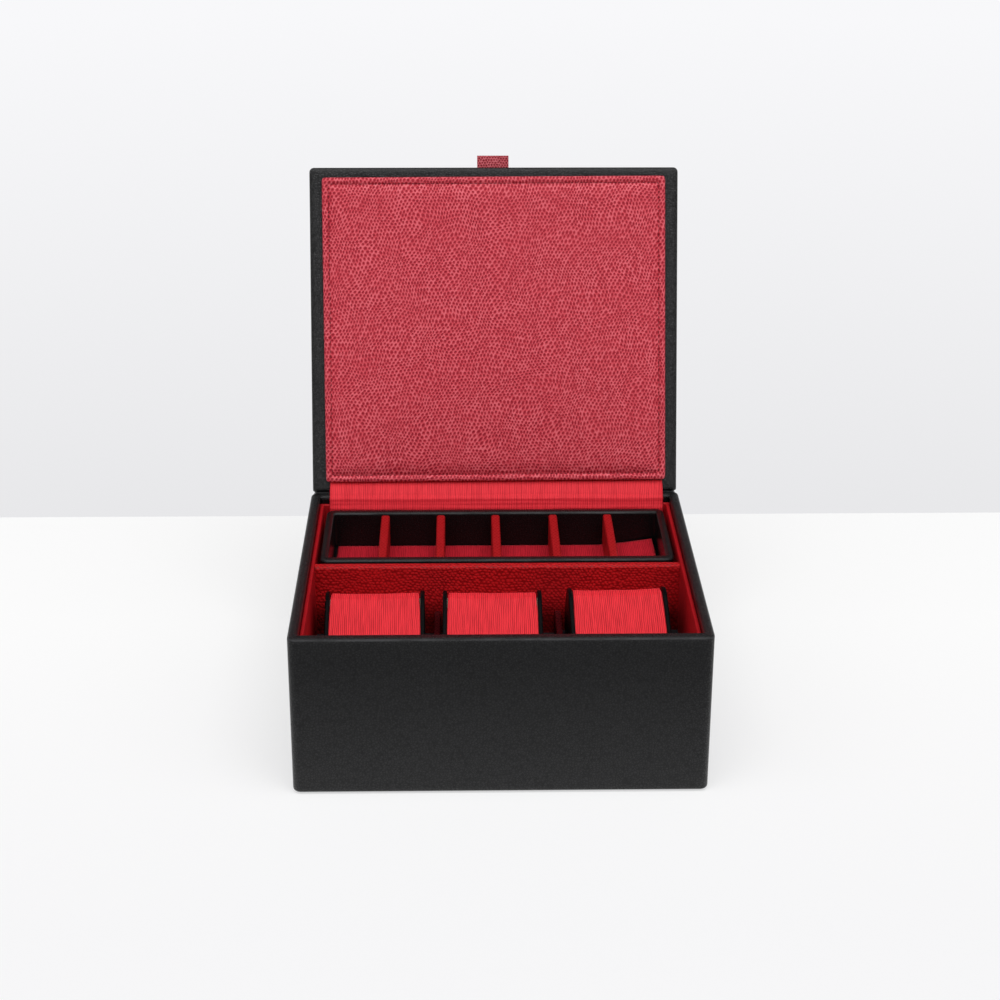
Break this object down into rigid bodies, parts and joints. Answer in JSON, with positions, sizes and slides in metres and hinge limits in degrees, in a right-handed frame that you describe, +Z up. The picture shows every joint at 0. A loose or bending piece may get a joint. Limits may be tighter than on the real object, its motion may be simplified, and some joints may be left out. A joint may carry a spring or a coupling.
{
  "type": "watch and cufflink box",
  "caption": "Leather-covered box with a padded hinged lid, lift-out watch cushions in the front bays and a lift-out divided cufflink tray behind them.",
  "frame": {"origin": "centre of the flat underside that the box stands on", "axes": "+Z up, +Y towards the hinge, +X to the right as seen from the front; the lid is open at rest"},
  "size_m": [0.201, 0.2376, 0.2565],
  "materials": {
    "black_leather": "fine grain, satin",
    "red_lizard": "lizard grain, satin",
    "red_silk": "ribbed silk, soft sheen",
    "cushion_silk": "ribbed silk, soft sheen",
    "board": "bare board",
    "under_sheet": "suede sheet, matt",
    "padding": "dense padding"
  },
  "bodies": {
    "case": {"base_board": "board", "front_wall": "board", "rear_wall": "board", "left_wall": "board", "right_wall": "board", "case_cover": "black_leather", "base_cover": "under_sheet", "front_liner": "red_silk", "rear_liner": "red_silk", "left_liner": "red_silk", "right_liner": "red_silk", "watch_floor": "under_sheet", "storage_floor": "red_silk", "cross_divider": "board", "divider_cover": "red_lizard", "watch_partition_left": "red_lizard", "watch_partition_right": "red_lizard", "rest_wedge_left": "under_sheet", "rest_wedge_centre": "under_sheet", "rest_wedge_right": "under_sheet", "rest_stop_left": "under_sheet", "rest_stop_centre": "under_sheet", "rest_stop_right": "under_sheet", "tray_ledge_left": "red_silk", "tray_ledge_right": "red_silk", "hinge_spine": "black_leather", "hinge_strip": "red_silk"},
    "lid": {"lid_board": "board", "lid_cover": "black_leather", "lid_pad_board": "board", "lid_pad": "red_lizard", "pull_tab": "red_lizard"},
    "tray": {"tray_front": "board", "tray_rear": "board", "tray_left": "board", "tray_right": "board", "tray_cover": "black_leather", "tray_base": "board", "tray_underside": "under_sheet", "tray_lining": "red_silk", "cell_divider_1": "red_lizard", "cell_divider_2": "red_lizard", "cell_divider_3": "red_lizard", "cell_divider_4": "red_lizard", "cell_divider_5": "red_lizard"},
    "cushion_left": {"cushion_left_core": "padding", "cushion_left_sleeve": "cushion_silk", "cushion_left_end_left": "black_leather", "cushion_left_end_right": "black_leather"},
    "cushion_centre": {"cushion_centre_core": "padding", "cushion_centre_sleeve": "cushion_silk", "cushion_centre_end_left": "black_leather", "cushion_centre_end_right": "black_leather"},
    "cushion_right": {"cushion_right_core": "padding", "cushion_right_sleeve": "cushion_silk", "cushion_right_end_left": "black_leather", "cushion_right_end_right": "black_leather"}
  },
  "joints": [
    {"name": "lid_hinge", "type": "hinge", "parent": "case", "child": "lid", "pos_m": [0, 0.08875, 0.08365], "axis": [-1, 0, 0], "range_deg": [-107.8, 0], "deforming": ["hinge_strip", "hinge_spine"]},
    {"name": "tray_lift", "type": "slide", "parent": "case", "child": "tray", "axis": [0, 0, 1], "range_m": [0, 0.06]},
    {"name": "cushion_left_lift", "type": "slide", "parent": "case", "child": "cushion_left", "axis": [0, 0, 1], "range_m": [0, 0.09]},
    {"name": "cushion_centre_lift", "type": "slide", "parent": "case", "child": "cushion_centre", "axis": [0, 0, 1], "range_m": [0, 0.09]},
    {"name": "cushion_right_lift", "type": "slide", "parent": "case", "child": "cushion_right", "axis": [0, 0, 1], "range_m": [0, 0.09]}
  ]
}
